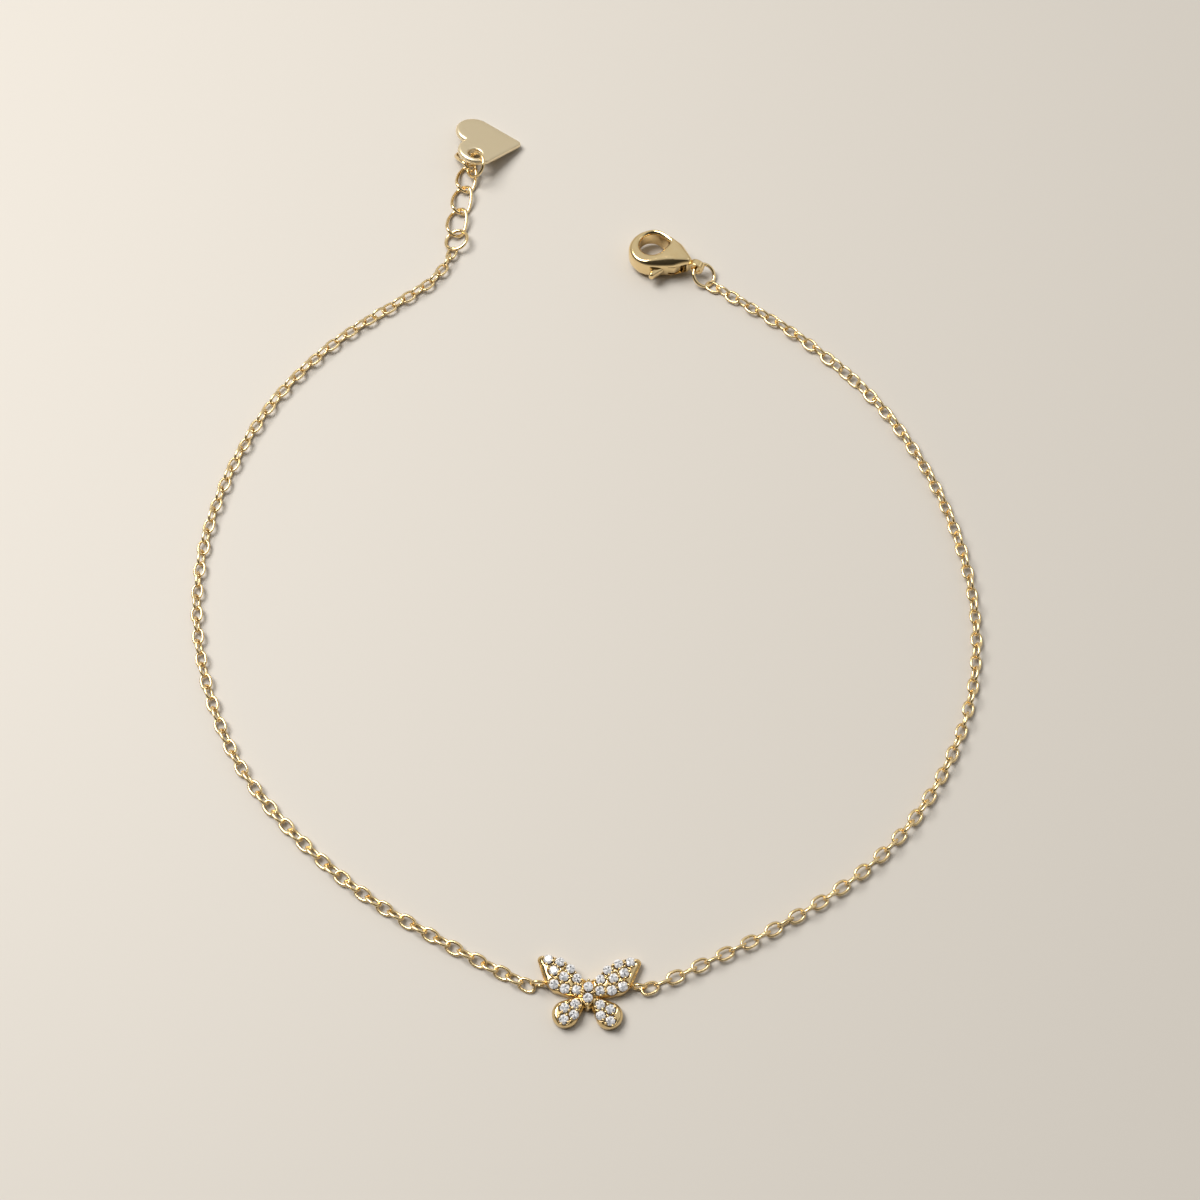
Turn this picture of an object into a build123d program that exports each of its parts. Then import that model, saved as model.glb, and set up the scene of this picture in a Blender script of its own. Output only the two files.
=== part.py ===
from build123d import *
import math
import os

# Charm anklet lying unfastened on a flat surface: two lengths of fine cable chain,
# a stone-set butterfly between them, a lobster clasp, and an extender with a heart tag.
# Origin: middle of the outline, on the surface. +X right, +Y from butterfly to clasp, +Z up.
# All sizes in millimetres.

# ---- driving dimensions ----------------------------------------------------
CHAIN_DIA = 1.0            # space taken up by the linked wire of the fine chain
CHAIN_Z = CHAIN_DIA / 2
RUN_SHARE = 0.45           # share of the shorter run that each bend takes up

WING_THICK = 1.1           # butterfly, back to girdle of the stones
BODY_THICK = 1.5
WING_CHAMFER = 0.25
BUTTERFLY_AT = (0.4, -50.22)
BUTTERFLY_TURN = -2.0      # degrees
WING_OUTLINE = [              # one wing, from the body round its tip and back
    (0.2, 1.3), (0.75, 1.5), (1.3, 2.2), (2.5, 3.12), (3.6, 3.5), (4.6, 3.5), (4.9, 3.15),
    (4.25, 1.4), (3.95, 0.7), (3.3, 0.1), (1.9, -0.28), (0.2, -0.45),
]
WING_BEND = 0.28
LOBE_AT = (2.03, -1.97)       # lower wing: a round and a smaller one where it joins the body
LOBE_R = 1.25
LOBE_ROOT_AT = (0.55, -0.65)
LOBE_ROOT_R = 0.45
CHARM_BODY_AT = (0.0, -0.15)
CHARM_BODY_HALF = (0.60, 1.35)
LOOP_R = 0.65              # soldered loop at each wing, to the middle of its wire
LOOP_WIRE = 0.15
LOOP_OUT = 4.72            # loop's middle from the butterfly's middle, along the wings
LOOP_UP = 0.78
LOOP_Z = 0.82

LINK_W = 1.05              # extender link, middle line: half width
LINK_L = 1.82              # half length
LINK_TWIST = 0.40          # rise and fall of its sides
LINK_WIRE = 0.19           # wire radius
LINK_SHOULDER = 0.95       # where each side starts to bend, from the link's middle
LINK_NOSE = 0.50           # half width of the flat at each end

RING_R = 1.27              # end ring and clasp ring, middle line
RING_WIRE = 0.19
HEART_RING_R = 1.36
HEART_RING_WIRE = 0.17

HEART_LOBE_R = 2.20
HEART_LOBE_Y = 1.80        # lobe centres from the axis
HEART_TIP_X = 4.83         # centre of the small tip radius from the lobe centres
HEART_TIP_R = 0.40
HEART_THICK = 0.80
HEART_ROUND = 0.35
HEART_CLEFT_R = 0.2
HEART_HOLE = (-0.30, -2.55)
HEART_HOLE_R = 0.80
HEART_HOLE_BEVEL = 0.20

CLASP_AT = (7.2, 34.28)    # middle of the hook
CLASP_TURN = -22.0         # long axis, hook to eye
CLASP_HALF = 1.45          # half thickness at the cheeks
CLASP_Z = CLASP_HALF
CLASP_ROUND = 0.40         # rounding of the top and bottom rims
HOOK_R = 2.50
CHEEK_AT = (2.35, 0.15)    # swelling over the lever
CHEEK_R = 1.75
NECK_X = 4.20
NECK_R = 0.60
HOLE_AT = (0.0, 0.5)       # opening inside the hook, a round with a corner
HOLE_R = 1.45
HOLE_CORNER_AT = (1.25, 1.05)
HOLE_CORNER_R = 0.45
EYE_X = 5.40
LUG_R = 0.85
LUG_HALF = 0.40            # half width of the lug, along the eye's axis
EYE_HOLE_R = 0.52
PIVOT = (3.15, 0.35)       # lever pivot in the clasp's own frame
NOSE_R = 2.00              # the cheeks end on this radius about the pivot; the lever's nose slides round it
PIN_R = 0.30
PIN_TOP = 1.15             # the pin stops under the upper face
PIN_GAP = 0.01             # pin in the cheeks
LEVER_BORE_GAP = 0.05      # running fit of the lever on its pin
LEVER_HALF = 0.55          # half thickness between the cheeks
SLOT_GAP = 0.10
NOSE_GAP = 0.07
HOOK_TIP = [(0.95, 0.6), (0.80, -3.4)]          # the flat end of the hook, inside to outside
NOSE_END = [(HOOK_TIP[0][0] + NOSE_GAP, 0.6), (HOOK_TIP[1][0] + NOSE_GAP, -3.4)]
MOUTH_FAR = [(3.6, -3.4), (3.6, 0.6)]           # closes the mouth's outline behind the cheeks' round front
SLOT = [(0.98, 1.25), (0.82, -3.4), (4.45, -3.4), (4.45, -0.4), (4.05, 1.1), (3.2, 1.35)]
LEVER_TAB = [(0.95, -2.0), (0.95, -3.4), (1.35, -3.4), (2.3, -1.75), (2.3, -1.3), (1.1, -1.3)]
LEVER_ARM = [
    (1.2, -1.0), (1.6, -1.9), (2.45, -1.6), (3.35, -1.3), (3.85, -0.55), (3.85, 0.7), (3.0, 1.05), (2.3, 0.7),
]
THICKNESS = [                                   # half thickness along the clasp, as Bezier handles
    (-3.0, 0.95), (0.0, 1.0), (2.0, 1.71), (3.5, 1.66), (5.1, 0.80),
]

# ---- routes of the two chains, seen from above ------------------------------
# points read by eye off a 5 mm grid, each bend's point just outside it; the ends meet the rings and loops
LEFT_ROUTE = [
    (-15.2, 35.0), (-16.2, 31.8), (-20.5, 28.4), (-27.9, 22.9), (-34.2, 15.1),
    (-38.4, 5.1), (-40.2, -5.0), (-39.3, -15.0), (-35.5, -25.2), (-30.2, -32.5),
    (-21.9, -40.2), (-13.5, -45.1), (-9.0, -47.5), (-5.35, -49.3),
]
RIGHT_ROUTE = [
    (14.1, 30.4), (18.4, 27.4), (24.0, 23.2), (31.4, 15.6), (36.6, 6.1),
    (39.5, -4.0), (40.0, -14.0), (37.9, -23.1), (32.9, -32.2), (26.4, -38.8),
    (17.9, -44.1), (11.4, -47.2), (8.6, -48.6), (6.15, -49.6),
]

# each extender link: x, y, z of its middle, then yaw, pitch and roll in degrees
LINK_PLACES = {
    "extender_link_1": (-14.75, 39.18, 0.62, -7, 0, 0),
    "extender_link_2": (-14.30, 42.35, 0.62, -7, 0, 0),
    "extender_link_3": (-13.84, 45.48, 0.62, -8, 0, 0),
    "extender_link_4": (-13.96, 47.94, 0.76, 14.8, -16.1, 30.6),
}
# each ring: radius to the middle of its wire, wire radius, then its place as above
RING_PLACES = {
    "end_ring": (RING_R, RING_WIRE, (-14.7, 36.68, 0.64, 0, 0, -19)),
    "clasp_ring": (RING_R, RING_WIRE, (13.10, 31.69, 0.82, -40, 0, 29.7)),
    "heart_ring": (HEART_RING_R, HEART_RING_WIRE, (-12.79, 46.43, 1.82, 20.0, 0, -47.9)),
}
HEART_PLACE = (-12.86, 50.12, 1.46, 6.3, -12, 10.8)


def lying_plane(place):
    """Plane at a place, turned by yaw about +Z, pitch about its own X, then roll about its own Y."""
    x, y, z, yaw, pitch, roll = place
    about_x = Location((0, 0, 0), (pitch, 0, 0))
    about_y = Location((0, 0, 0), (0, roll, 0))
    return Plane(Location((x, y, z), (0, 0, yaw)) * about_x * about_y)


def bend_radii(points):
    """Radius of the arc at each inner point, from its shorter run and its turn."""
    radii = []
    for before, here, after in zip(points, points[1:], points[2:]):
        run_in = Vector(*here) - Vector(*before)
        run_out = Vector(*after) - Vector(*here)
        half_turn = math.radians(run_in.get_angle(run_out)) / 2
        radii.append(RUN_SHARE * min(run_in.length, run_out.length) / math.tan(half_turn))
    return radii


os.makedirs("parts", exist_ok=True)

# ---- the two fine chains, each as one tube along its route -------------------
for chain_name, route in (("chain_left", LEFT_ROUTE), ("chain_right", RIGHT_ROUTE)):
    points = [(x, y, CHAIN_Z) for x, y in route]
    radii = bend_radii(points)
    with BuildPart() as chain:
        with BuildLine() as centre_line:
            FilletPolyline(*points, radius=radii)
        path = centre_line.wire()
        with BuildSketch(Plane(origin=path @ 0, z_dir=path % 0)):
            Circle(CHAIN_DIA / 2)
        sweep(path=path)
    length = path.length
    swept = math.pi * CHAIN_DIA ** 2 / 4 * length
    print(chain_name, "length", round(length, 1))
    print("  volume", round(chain.part.volume, 2), "of", round(swept, 2))
    print("  bend radii", [round(radius, 1) for radius in radii])
    chain.part.label = chain_name
    export_step(chain.part, f"parts/{chain_name}.step")

# ---- butterfly charm: wings, lobes and body soldered in one, with a loop each side
butterfly_plane = Plane(Location((*BUTTERFLY_AT, 0), (0, 0, BUTTERFLY_TURN)))
with BuildPart() as wings:
    with BuildSketch(butterfly_plane):
        with BuildLine():
            Polyline(*WING_OUTLINE, close=True)
        make_face()
        fillet(vertices().sort_by(Axis.X)[2:], WING_BEND)
        mirror(about=Plane.YZ)
    extrude(amount=WING_THICK)
    chamfer(faces().sort_by(Axis.Z)[-1].outer_wire().edges(), WING_CHAMFER)
with BuildPart() as lobes:
    for side in (-1, 1):
        with BuildSketch(butterfly_plane):
            with Locations((side * LOBE_AT[0], LOBE_AT[1])):
                Circle(LOBE_R)
            with Locations((side * LOBE_ROOT_AT[0], LOBE_ROOT_AT[1])):
                Circle(LOBE_ROOT_R)
            make_hull()
        extrude(amount=WING_THICK)
    chamfer(edges().group_by(Axis.Z)[-1], WING_CHAMFER)
with BuildPart() as butterfly:
    add(wings.part)
    add(lobes.part)
    with BuildSketch(butterfly_plane):
        with Locations(CHARM_BODY_AT):
            Ellipse(*CHARM_BODY_HALF)
    extrude(amount=BODY_THICK)
    for side in (-1, 1):
        loop_at = butterfly_plane.from_local_coords((side * LOOP_OUT, LOOP_UP, LOOP_Z))
        with BuildSketch(Plane(origin=loop_at, x_dir=butterfly_plane.x_dir, z_dir=butterfly_plane.z_dir)):
            with Locations((LOOP_R, 0)):
                Circle(LOOP_WIRE)
        revolve(axis=Axis(loop_at, butterfly_plane.y_dir), revolution_arc=360)
butterfly.part.label = "butterfly_charm"
export_step(butterfly.part, "parts/butterfly_charm.step")

# ---- extender links: twisted ovals, each half swept and the other half turned to meet it
for link_name, place in LINK_PLACES.items():
    link_plane = lying_plane(place)
    half_loop = [
        (LINK_W, 0, 0),
        (LINK_W, LINK_SHOULDER, LINK_TWIST),
        (LINK_NOSE, LINK_L, LINK_TWIST / 2),
        (-LINK_NOSE, LINK_L, -LINK_TWIST / 2),
        (-LINK_W, LINK_SHOULDER, -LINK_TWIST),
        (-LINK_W, 0, 0),
    ]
    with BuildPart() as link:
        for flip in (1, -1):
            turned = [link_plane.from_local_coords((flip * x, flip * y, z)) for x, y, z in half_loop]
            corners = [(point.X, point.Y, point.Z) for point in turned]
            with BuildLine() as side_line:
                FilletPolyline(*corners, radius=bend_radii(corners))
            side = side_line.wire()
            with BuildSketch(Plane(origin=side @ 0, z_dir=side % 0)):
                Circle(LINK_WIRE)
            sweep(path=side)
    link.part.label = link_name
    export_step(link.part, f"parts/{link_name}.step")

# ---- rings ------------------------------------------------------------------
for ring_name, (ring_r, wire_r, place) in RING_PLACES.items():
    ring_plane = lying_plane(place)
    with BuildPart() as ring:
        with BuildSketch(Plane(origin=ring_plane.origin, x_dir=ring_plane.x_dir, z_dir=-ring_plane.y_dir)):
            with Locations((ring_r, 0)):
                Circle(wire_r)
        revolve(axis=Axis(ring_plane.origin, ring_plane.z_dir), revolution_arc=360)
    ring.part.label = ring_name
    export_step(ring.part, f"parts/{ring_name}.step")

# ---- heart tag ----------------------------------------------------------------
heart_plane = lying_plane(HEART_PLACE)
slant = math.atan2(-HEART_LOBE_Y, HEART_TIP_X)
tangent_angle = slant + math.acos((HEART_LOBE_R - HEART_TIP_R) / math.hypot(HEART_TIP_X, HEART_LOBE_Y))
touch = Vector(math.cos(tangent_angle), math.sin(tangent_angle))
tip_middle = Vector(math.cos(tangent_angle / 2), math.sin(tangent_angle / 2))
lobe_centre = Vector(0, HEART_LOBE_Y)
tip_centre = Vector(HEART_TIP_X, 0)
cleft = Vector(-math.sqrt(HEART_LOBE_R ** 2 - HEART_LOBE_Y ** 2), 0)
lobe_far = lobe_centre + Vector(-HEART_LOBE_R, 0)
with BuildPart() as heart:
    with BuildSketch(heart_plane.offset(-HEART_THICK / 2)):
        with BuildLine():
            ThreePointArc(cleft, lobe_far, lobe_centre + touch * HEART_LOBE_R)
            Line(lobe_centre + touch * HEART_LOBE_R, tip_centre + touch * HEART_TIP_R)
            ThreePointArc(tip_centre + touch * HEART_TIP_R, tip_centre + tip_middle * HEART_TIP_R,
                          tip_centre + Vector(HEART_TIP_R, 0))
            mirror(about=Plane.XZ)
        make_face()
        fillet(vertices().sort_by(Axis.X)[:3].sort_by(Axis.Y)[1:2], HEART_CLEFT_R)
        with Locations(HEART_HOLE):
            Circle(HEART_HOLE_R, mode=Mode.SUBTRACT)
    extrude(amount=HEART_THICK)
    outer_faces = faces().filter_by(GeomType.PLANE).sort_by(SortBy.AREA)[-2:]
    hole_rims = outer_faces[0].inner_wires()[0].edges() + outer_faces[1].inner_wires()[0].edges()
    chamfer(hole_rims, HEART_HOLE_BEVEL)
    rims = faces().filter_by(GeomType.PLANE).sort_by(SortBy.AREA)[-2:]
    fillet(rims[0].outer_wire().edges() + rims[1].outer_wire().edges(), HEART_ROUND)
heart.part.label = "heart_tag"
export_step(heart.part, "parts/heart_tag.step")

# ---- lobster clasp -------------------------------------------------------------
clasp_plane = Plane(Location((*CLASP_AT, CLASP_Z), (0, 0, CLASP_TURN)))
side_plane = Plane(origin=clasp_plane.origin, x_dir=clasp_plane.x_dir, z_dir=-clasp_plane.y_dir)
pivot_point = clasp_plane.from_local_coords((*PIVOT, 0))
pivot_plane = Plane(origin=pivot_point, x_dir=clasp_plane.x_dir, z_dir=(0, 0, 1))
with BuildPart() as clasp_blank:
    with BuildSketch(clasp_plane.offset(-HOOK_R)):
        Circle(HOOK_R)
        with Locations(CHEEK_AT):
            Circle(CHEEK_R)
        with Locations((NECK_X, CHEEK_AT[1])):
            Circle(NECK_R)
        make_hull()
    extrude(amount=2 * HOOK_R)
    with BuildSketch(side_plane.offset(-2 * HOOK_R)):
        with BuildLine():
            Bezier(*THICKNESS)
            Line(THICKNESS[-1], (THICKNESS[-1][0], -THICKNESS[-1][1]))
            Bezier(*[(x, -z) for x, z in reversed(THICKNESS)])
            Line((THICKNESS[0][0], -THICKNESS[0][1]), THICKNESS[0])
        make_face()
    extrude(amount=4 * HOOK_R, mode=Mode.INTERSECT)
    walls = faces().filter_by(lambda face: abs(face.normal_at().Z) < 0.01)
    rims = walls.edges().filter_by(lambda edge: abs((edge % 0.5).Z) < 0.9)
    fillet(rims, CLASP_ROUND)
    with BuildSketch(clasp_plane.offset(-CLASP_HALF)):
        with Locations(HOLE_AT):
            Circle(HOLE_R)
        with Locations(HOLE_CORNER_AT):
            Circle(HOLE_CORNER_R)
        make_hull()
    extrude(amount=2 * CLASP_HALF, mode=Mode.SUBTRACT)

with BuildPart() as clasp_body:
    add(clasp_blank.part)
    with BuildSketch(clasp_plane.offset(-CLASP_HALF)):
        Polygon(*HOOK_TIP, *MOUTH_FAR, align=None)
        with Locations(PIVOT):
            Circle(NOSE_R, mode=Mode.SUBTRACT)
    extrude(amount=2 * CLASP_HALF, mode=Mode.SUBTRACT)
    with BuildSketch(clasp_plane.offset(-LEVER_HALF - SLOT_GAP)):
        Polygon(*SLOT, align=None)
    extrude(amount=2 * (LEVER_HALF + SLOT_GAP), mode=Mode.SUBTRACT)
    with BuildSketch(side_plane.offset(-CHEEK_AT[1] - LUG_HALF)):
        with Locations((EYE_X, 0)):
            Circle(LUG_R)
    extrude(amount=2 * LUG_HALF)
    with BuildSketch(side_plane.offset(-2 * LUG_R)):
        with Locations((EYE_X, 0)):
            Circle(EYE_HOLE_R)
    extrude(amount=4 * LUG_R, mode=Mode.SUBTRACT)
    with BuildSketch(pivot_plane.offset(-2 * CLASP_HALF)):
        Circle(PIN_R + PIN_GAP)
    extrude(amount=2 * CLASP_HALF + PIN_TOP, mode=Mode.SUBTRACT)
clasp_body.part.label = "clasp_body"
export_step(clasp_body.part, "parts/clasp_body.step")

with BuildPart() as clasp_lever:
    add(clasp_blank.part)
    with BuildSketch(clasp_plane.offset(-CLASP_HALF)):
        Polygon(*NOSE_END, *MOUTH_FAR, align=None)
        with Locations(PIVOT):
            Circle(NOSE_R + NOSE_GAP, mode=Mode.SUBTRACT)
    extrude(amount=2 * CLASP_HALF, mode=Mode.INTERSECT)
    for outline in (LEVER_ARM, LEVER_TAB):
        with BuildSketch(clasp_plane.offset(-LEVER_HALF)):
            Polygon(*outline, align=None)
        extrude(amount=2 * LEVER_HALF)
    with BuildSketch(pivot_plane.offset(-CLASP_HALF)):
        Circle(PIN_R + LEVER_BORE_GAP)
    extrude(amount=2 * CLASP_HALF, mode=Mode.SUBTRACT)
clasp_lever.part.label = "clasp_lever"
export_step(clasp_lever.part, "parts/clasp_lever.step")

with BuildPart() as clasp_pin:
    with BuildSketch(pivot_plane.offset(-CLASP_HALF)):
        Circle(PIN_R)
    extrude(amount=CLASP_HALF + PIN_TOP - PIN_GAP)
clasp_pin.part.label = "clasp_pin"
export_step(clasp_pin.part, "parts/clasp_pin.step")
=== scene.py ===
# %% [markdown]
# # A charm anklet, laid open on a table
#
# The anklet is two lengths of fine cable chain, a butterfly set with clear stones between them,
# a lobster clasp at one free end, and a short extender with a flat heart at the other.
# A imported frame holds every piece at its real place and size. This lesson gives each of them its
# finish: round wire, domed metal, faceted stones and pale gold plating.
# Every new piece is worked out with numpy as a grid of points, so a shape is a formula and not a
# heap of clicks.

# %% Start from the frame
import bpy
import numpy as np
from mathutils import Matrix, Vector


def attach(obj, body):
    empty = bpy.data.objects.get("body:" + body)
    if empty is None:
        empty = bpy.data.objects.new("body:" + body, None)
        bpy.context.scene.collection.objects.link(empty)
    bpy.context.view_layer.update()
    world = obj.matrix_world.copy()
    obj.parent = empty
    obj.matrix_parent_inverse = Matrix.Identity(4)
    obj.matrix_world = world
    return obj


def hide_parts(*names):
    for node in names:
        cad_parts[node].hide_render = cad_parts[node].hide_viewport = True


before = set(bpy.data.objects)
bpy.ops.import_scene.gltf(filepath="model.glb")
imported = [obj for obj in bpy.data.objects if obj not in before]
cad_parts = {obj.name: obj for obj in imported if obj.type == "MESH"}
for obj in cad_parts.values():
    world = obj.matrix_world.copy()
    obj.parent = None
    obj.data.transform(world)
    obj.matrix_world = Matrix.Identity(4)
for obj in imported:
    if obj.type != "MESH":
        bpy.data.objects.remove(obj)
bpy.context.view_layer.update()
MM = 0.001
TAU = 2 * np.pi
print("nodes:", sorted(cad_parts))

# %% [markdown]
# ## Turning and placing
#
# The frame lays each link and ring by a place and three angles: yaw about the upright, then pitch
# about the piece's own X, then roll about its own Y. The same order is used here, so that a piece
# worked out around its own middle lands on its CAD solid. One matrix product moves all its points.

# %% Places and turns
def turning(yaw=0.0, pitch=0.0, roll=0.0):
    """Matrix that rolls about Y, then pitches about X, then yaws about Z, in degrees."""
    a, b, c = np.radians([yaw, pitch, roll])
    about_z = np.array([[np.cos(a), -np.sin(a), 0], [np.sin(a), np.cos(a), 0], [0, 0, 1]])
    about_x = np.array([[1, 0, 0], [0, np.cos(b), -np.sin(b)], [0, np.sin(b), np.cos(b)]])
    about_y = np.array([[np.cos(c), 0, np.sin(c)], [0, 1, 0], [-np.sin(c), 0, np.cos(c)]])
    return about_z @ about_x @ about_y


def lay(points, place):
    """Points in millimetres around a piece's middle, turned and moved to its place."""
    x, y, z, yaw, pitch, roll = place
    return points @ turning(yaw, pitch, roll).T + np.array([x, y, z])


# %% [markdown]
# ## From a grid to a mesh
#
# A surface of two parameters is a grid: row after row of points. Its faces join each point to its
# neighbours, and a grid that closes on itself joins the last row or column to the first.
# A disc's first and last rows shrink to one point, a pole, and a fan of triangles closes it.

# %% Faces of a grid
def grid_faces(rows, columns, wrap_rows=True):
    """Quads of a grid whose columns close round; the rows close too if wrap_rows is set."""
    row = np.arange(rows if wrap_rows else rows - 1)[:, None]
    column = np.arange(columns)[None, :]
    below = (row + 1) % rows
    right = (column + 1) % columns
    corners = [
        row * columns + column,
        row * columns + right,
        below * columns + right,
        below * columns + column,
    ]
    return np.stack(np.broadcast_arrays(*corners), -1).reshape(-1, 4)


def closed_disc(rows):
    """Points and faces of a skin made of closed rows, with a pole at each end of the stack."""
    count, columns, _ = rows.shape
    poles = np.stack([rows[0].mean(0), rows[-1].mean(0)])
    points = np.concatenate([rows.reshape(-1, 3), poles])
    here = np.arange(columns)
    after = (here + 1) % columns
    first, last = count * columns, count * columns + 1
    end = (count - 1) * columns
    fan_first = np.stack([np.full(columns, first), after, here], 1)
    fan_last = np.stack([np.full(columns, last), end + here, end + after], 1)
    return points, [grid_faces(count, columns, wrap_rows=False), fan_first, fan_last]


# %% Joining shells into one piece
def shell(points, faces):
    """A shell is its points in millimetres and a list of face arrays."""
    return points.reshape(-1, 3), faces if isinstance(faces, list) else [faces]


def new_mesh(name, shells, smooth_angle=40.0):
    """One mesh from several shells: each shell's face numbers are moved on by the points before it."""
    points, faces, start = [], [], 0
    for shell_points, face_arrays in shells:
        points.append(shell_points)
        faces += [face for array in face_arrays for face in (array + start).tolist()]
        start += len(shell_points)
    mesh = bpy.data.meshes.new(name)
    mesh.from_pydata((np.concatenate(points) * MM).tolist(), [], faces)
    mesh.update()
    mesh.shade_smooth()
    mesh.set_sharp_from_angle(angle=np.radians(smooth_angle))
    return mesh


def new_piece(name, mesh, body, stands_for=(), material=None):
    """An object for the mesh that rides on a body, takes a slot, and may stand for CAD nodes."""
    piece = bpy.data.objects.new(name, mesh)
    bpy.context.scene.collection.objects.link(piece)
    if material:
        mesh.materials.append(material)
    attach(piece, body)
    if stands_for:
        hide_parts(*stands_for)
    print(name, "points", len(mesh.vertices), "faces", len(mesh.polygons))
    return piece


# %% [markdown]
# ## Writing shader maths as Python
#
# A material's pattern is arithmetic on numbers that vary over the surface. Wiring Math nodes by
# hand hides the formula, so a small class wraps a socket, and each operator adds the node for it.

# %% A socket that can be used in sums
class Flow:
    """A node's output that takes part in Python sums; each operator adds one Math node."""

    def __init__(self, tree, socket=None):
        self.tree, self.socket = tree, socket

    def node(self, kind, settings=None, inputs=None, output=0):
        """Adds a node, sets its settings, then sets or links its inputs, and wraps one output."""
        made = self.tree.nodes.new(kind)
        for key, value in (settings or {}).items():
            if key == "stops":
                ramp = made.color_ramp
                for _ in value[2:]:
                    ramp.elements.new(0.5)
                for element, (position, colour) in zip(ramp.elements, value):
                    element.position, element.color = position, colour
            else:
                setattr(made, key, value)
        for key, value in (inputs or {}).items():
            if isinstance(value, Flow):
                self.tree.links.new(value.socket, made.inputs[key])
            else:
                made.inputs[key].default_value = value
        return Flow(self.tree, made.outputs[output])

    def maths(self, operation, first, second):
        """One Math node on two numbers or flows."""
        return self.node("ShaderNodeMath", {"operation": operation}, {0: first, 1: second})

    def __add__(self, other):
        return self.maths("ADD", self, other)

    def __sub__(self, other):
        return self.maths("SUBTRACT", self, other)

    def __rsub__(self, other):
        return self.maths("SUBTRACT", other, self)

    def __mul__(self, other):
        return self.maths("MULTIPLY", self, other)

    __radd__ = __add__
    __rmul__ = __mul__


def finish_of(name, metallic, roughness, coat=0.0):
    """A material with a Principled shader, and the flow that starts its patterns."""
    material = bpy.data.materials.new(name)
    material.use_nodes = True
    shader = material.node_tree.nodes["Principled BSDF"]
    shader.inputs["Metallic"].default_value = metallic
    shader.inputs["Roughness"].default_value = roughness
    shader.inputs["Coat Weight"].default_value = coat
    return material, shader, Flow(material.node_tree)


def feed(flow, shader, socket, value):
    """Links a flow into one socket of the shader."""
    flow.tree.links.new(value.socket, shader.inputs[socket])


def noise(flow, spot, size_mm, detail):
    """Soft noise whose lumps are about that many millimetres across."""
    inputs = {"Vector": spot, "Scale": 1 / (size_mm * MM), "Detail": detail}
    return flow.node("ShaderNodeTexNoise", {}, inputs)


def blend(flow, share, first, second):
    """Two colours mixed: a share of 0 gives the first, a share of 1 the second."""
    inputs = {"Factor": share, "A": first, "B": second}
    return flow.node("ShaderNodeMix", {"data_type": "RGBA"}, inputs, 2)


def bumps(flow, height, strength, depth_mm):
    """A bump as high as the pattern times that many millimetres."""
    inputs = {"Height": height, "Strength": strength, "Distance": depth_mm * MM}
    return flow.node("ShaderNodeBump", {}, inputs)


# %% [markdown]
# ## Pale gold plating
#
# Plated brass is a metal shader whose base colour is the metal's own reflection. Polished wire is
# never even: tumbling leaves soft clouds in its gloss and hair-fine marks, so roughness follows a
# cloud noise and a very low bump breaks the highlights.
#
# One function makes three golds, each with a light and a deep tone that the clouds blend: polished
# for the rings and clasp, a softer gloss for the chain, and a deeper cast gold for the butterfly,
# which also carries painted shade in its grooves. The pale pair of tones is for the tag's satin.

# %% Polished gold, chain gold and cast gold
GOLD = (0.92, 0.74, 0.43, 1.0)
DEEP_GOLD = (0.85, 0.62, 0.30, 1.0)
PALE_GOLD = (0.93, 0.81, 0.58, 1.0)
PALE_DEEP = (0.88, 0.72, 0.44, 1.0)
CAST_GOLD = (0.85, 0.67, 0.37, 1.0)
CAST_DEEP = (0.70, 0.49, 0.21, 1.0)
# painted shade: the colour the cast gold turns toward in the grooves round the stones
PAINTED_SHADE_COLOUR = (0.45, 0.28, 0.10, 1.0)
CLOUD_SHARE = 0.8
MARK_SIZE = 0.07
MARK_STRENGTH = 0.12


def gold_finish(name, tones_and_painted_light, cloud_size_mm, roughness, spread, mark_depth_mm, painted_groove_shade=False):
    """Gold mixed between two tones by clouds, with painted shade in the grooves when asked; roughness = base
    + spread * clouds.
    """
    material, shader, flow = finish_of(name, 1.0, roughness)
    spot = flow.node("ShaderNodeTexCoord", output="Object")
    clouds = noise(flow, spot, cloud_size_mm, 3.0)
    marks = noise(flow, spot, MARK_SIZE, 2.0)
    tone = blend(flow, clouds * CLOUD_SHARE, *tones_and_painted_light)
    # painted shade: darker gold where a point value marks a groove beside a stone
    if painted_groove_shade:
        shade_share = flow.node("ShaderNodeAttribute", {"attribute_name": "crevice"}, output="Fac")
        tone = blend(flow, shade_share, tone, PAINTED_SHADE_COLOUR)
    feed(flow, shader, "Base Color", tone)
    feed(flow, shader, "Roughness", clouds * spread + roughness)
    feed(flow, shader, "Normal", bumps(flow, marks, MARK_STRENGTH, mark_depth_mm))
    return material


polished_gold = gold_finish("polished_gold", (GOLD, DEEP_GOLD), 0.9, 0.09, 0.09, 0.002)
chain_gold = gold_finish("chain_gold", (GOLD, DEEP_GOLD), 0.9, 0.22, 0.08, 0.001)
cast_gold = gold_finish("cast_gold", (CAST_GOLD, CAST_DEEP), 0.5, 0.14, 0.12, 0.004, painted_groove_shade=True)
print("gold finishes:", polished_gold.name, chain_gold.name, cast_gold.name)

# %% [markdown]
# ## Satin gold
#
# The tag is brushed before plating, so it shines softly and evenly. Long thin noise along its
# length gives the brush lines, as bump and as a little change of roughness.

# %% Satin gold
BRUSH_SQUEEZE = (1.0, 9.0, 9.0)
BRUSH_SIZE = 0.5
BRUSH_DEPTH = 0.004
SATIN_MEAN = 0.42
SATIN_ROUGHNESS, SATIN_SPREAD = 0.34, 0.12


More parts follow.
